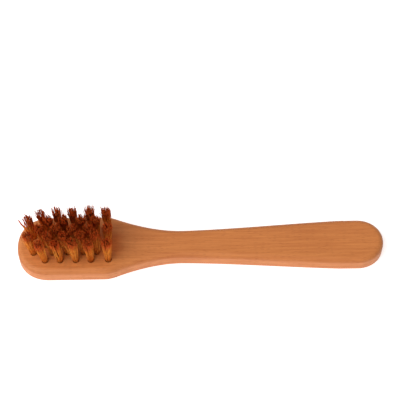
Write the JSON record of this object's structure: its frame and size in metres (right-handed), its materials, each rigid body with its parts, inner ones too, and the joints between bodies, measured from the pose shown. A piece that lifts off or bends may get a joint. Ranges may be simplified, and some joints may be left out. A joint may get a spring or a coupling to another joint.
{
  "type": "wooden-handled brass wire brush",
  "caption": "Small hand brush: a flat beech handle with a wide rounded head, a narrow neck and a flared grip, and rows of folded brass wire tufts pinned in blind holes.",
  "frame": {"origin": "centre of the brush's box, on the flat back face", "axes": "+X along the handle to the end of the grip, +Z out of the wood along the bristles"},
  "size_m": [0.175, 0.03, 0.0283],
  "materials": {
    "beech": "sanded beech under a thin satin lacquer",
    "brass_wire": "fine drawn wire, darker and redder at the cut tips",
    "anchor_steel": "flat drawn wire"
  },
  "bodies": {
    "root": {"handle": "beech", "tuft_anchors": "anchor_steel", "tuft_r1_c1": "brass_wire", "tuft_r1_c2": "brass_wire", "tuft_r1_c3": "brass_wire", "tuft_r1_c4": "brass_wire", "tuft_r1_c5": "brass_wire", "tuft_r2_c1": "brass_wire", "tuft_r2_c2": "brass_wire", "tuft_r2_c3": "brass_wire", "tuft_r2_c4": "brass_wire", "tuft_r2_c5": "brass_wire", "tuft_r3_c1": "brass_wire", "tuft_r3_c2": "brass_wire", "tuft_r3_c3": "brass_wire", "tuft_r3_c4": "brass_wire", "tuft_r3_c5": "brass_wire", "tuft_r4_c1": "brass_wire", "tuft_r4_c2": "brass_wire", "tuft_r4_c3": "brass_wire", "tuft_r4_c4": "brass_wire", "tuft_r4_c5": "brass_wire", "tuft_r5_c1": "brass_wire", "tuft_r5_c2": "brass_wire", "tuft_r5_c3": "brass_wire", "tuft_r5_c4": "brass_wire", "tuft_r5_c5": "brass_wire"}
  },
  "joints": []
}
